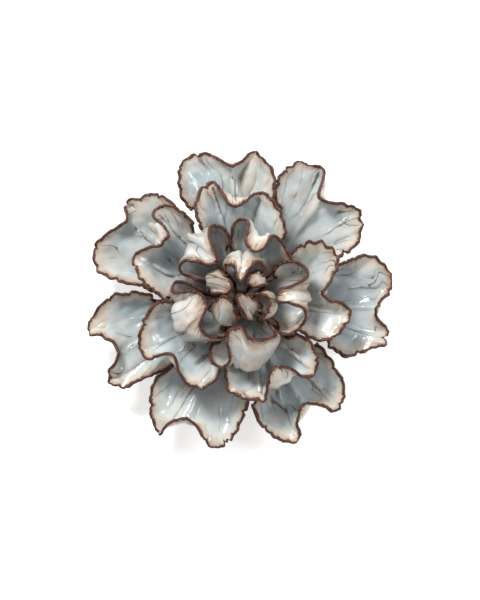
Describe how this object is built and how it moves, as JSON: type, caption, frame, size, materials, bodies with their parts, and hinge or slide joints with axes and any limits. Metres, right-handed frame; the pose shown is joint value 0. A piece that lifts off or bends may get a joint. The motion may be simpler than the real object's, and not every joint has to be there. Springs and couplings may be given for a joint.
{
  "type": "ceramic flower ornament",
  "caption": "Hand-pinched glazed ceramic flower: rings of two-lobed petals curling towards a rolled centre, on a flat round clay base",
  "frame": {"origin": "on the base's underside, on the flower's axis; the underside lies on z = 0", "axes": "+Z out of the flower's face, away from the base; +Y towards the top of the flower as displayed; +X to its right"},
  "size_m": [0.1395, 0.136, 0.0474],
  "materials": {
    "base_clay": "bare fired stoneware clay, warm buff, matt",
    "pale_glaze": "glossy pale blue-grey glaze pooling bluer in hollows, breaking cream and rust brown at the edges",
    "warm_glaze": "glossy cream glaze worn thin over the backs, streaked and edged rust brown"
  },
  "bodies": {
    "root": {"clay_base": "base_clay", "outer_petal_1": "pale_glaze", "outer_petal_2": "pale_glaze", "outer_petal_3": "pale_glaze", "outer_petal_4": "pale_glaze", "outer_petal_5": "pale_glaze", "outer_petal_6": "pale_glaze", "outer_petal_7": "pale_glaze", "middle_petal_1": "pale_glaze", "middle_petal_2": "pale_glaze", "middle_petal_3": "pale_glaze", "middle_petal_4": "pale_glaze", "middle_petal_5": "pale_glaze", "inner_petal_1": "warm_glaze", "inner_petal_2": "warm_glaze", "inner_petal_3": "warm_glaze", "inner_petal_4": "warm_glaze", "inner_petal_5": "warm_glaze", "centre_petal_1": "warm_glaze", "centre_petal_2": "warm_glaze", "centre_petal_3": "warm_glaze", "centre_petal_4": "warm_glaze", "centre_petal_5": "warm_glaze", "centre_petal_6": "warm_glaze"}
  },
  "joints": []
}
